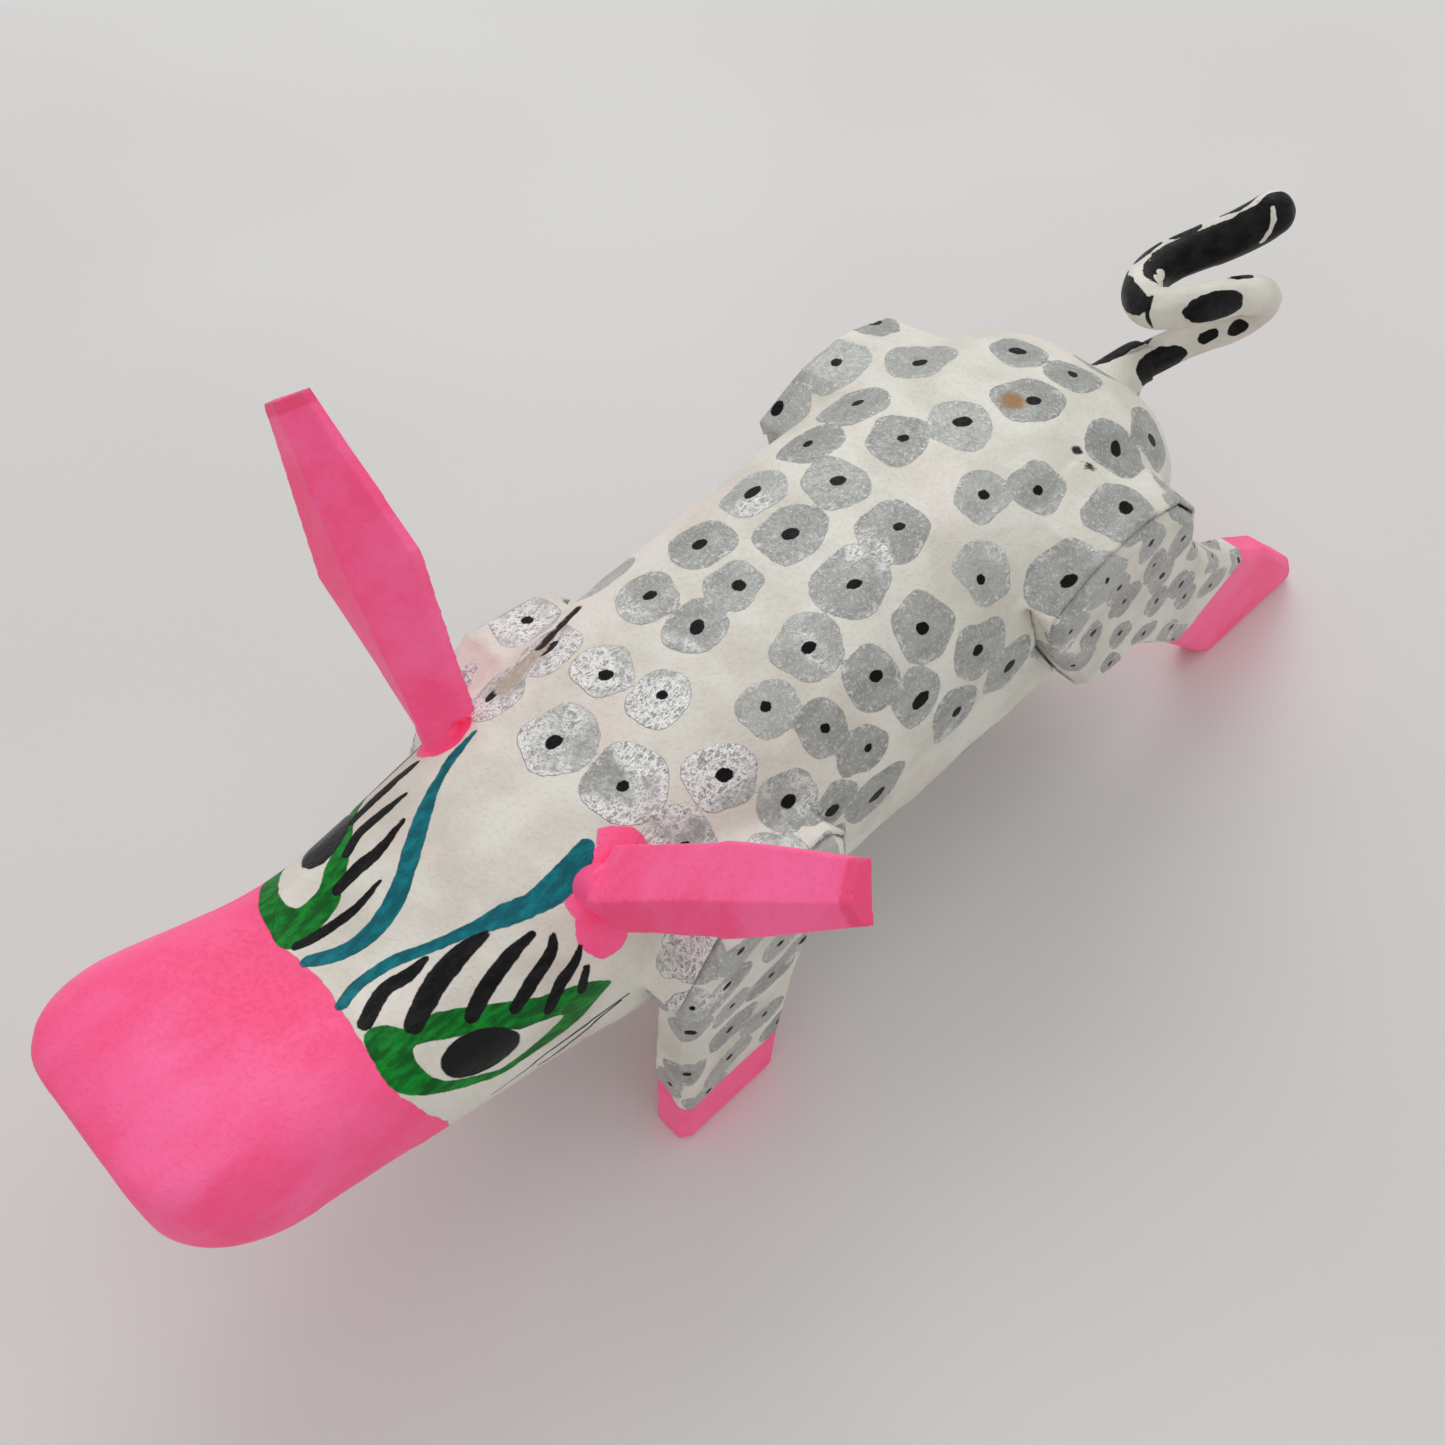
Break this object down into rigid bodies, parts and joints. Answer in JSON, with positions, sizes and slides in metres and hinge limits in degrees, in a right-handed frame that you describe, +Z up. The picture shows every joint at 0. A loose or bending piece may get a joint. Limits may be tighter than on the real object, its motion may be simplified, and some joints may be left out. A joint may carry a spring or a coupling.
{
  "type": "alebrije figure",
  "caption": "Small carved and painted wooden farm animal with a blunt muzzle, plug-in leaf ears, slab legs and a corkscrew tail",
  "frame": {"origin": "centre of the bounding box in X and Y, at the hooves' undersides", "axes": "+Y towards the tail, so the animal faces -Y; +X to the animal's left; +Z up"},
  "size_m": [0.0722, 0.1642, 0.0712],
  "materials": {
    "body_paint": "white house paint over carved wood, silver glitter ovals, pink muzzle",
    "leg_paint": "white paint with dull silver ovals, pink hooves",
    "ear_paint": "matte fluorescent pink paint",
    "tail_paint": "black patches over white paint, chipped",
    "nail_steel": "plain wire nail, head painted over",
    "seam_putty": "sawdust and glue filler, painted over"
  },
  "bodies": {
    "figure": {"body": "body_paint", "leg_front_left": "leg_paint", "leg_front_right": "leg_paint", "leg_rear_left": "leg_paint", "leg_rear_right": "leg_paint", "tail": "tail_paint", "nail_front_left": "nail_steel", "nail_front_right": "nail_steel", "nail_rear_left": "nail_steel", "nail_rear_right": "nail_steel", "putty_front_left": "seam_putty", "putty_front_right": "seam_putty", "putty_rear_left": "seam_putty", "putty_rear_right": "seam_putty", "putty_tail": "seam_putty"},
    "ear_left": {"ear_left": "ear_paint"},
    "ear_right": {"ear_right": "ear_paint"}
  },
  "joints": [
    {"name": "ear_left_pull", "type": "slide", "parent": "figure", "child": "ear_left", "axis": [0.7006, 0.14, 0.6997], "range_m": [0, 0.009]},
    {"name": "ear_right_pull", "type": "slide", "parent": "figure", "child": "ear_right", "axis": [-0.589, 0.0828, 0.8039], "range_m": [0, 0.009]}
  ]
}
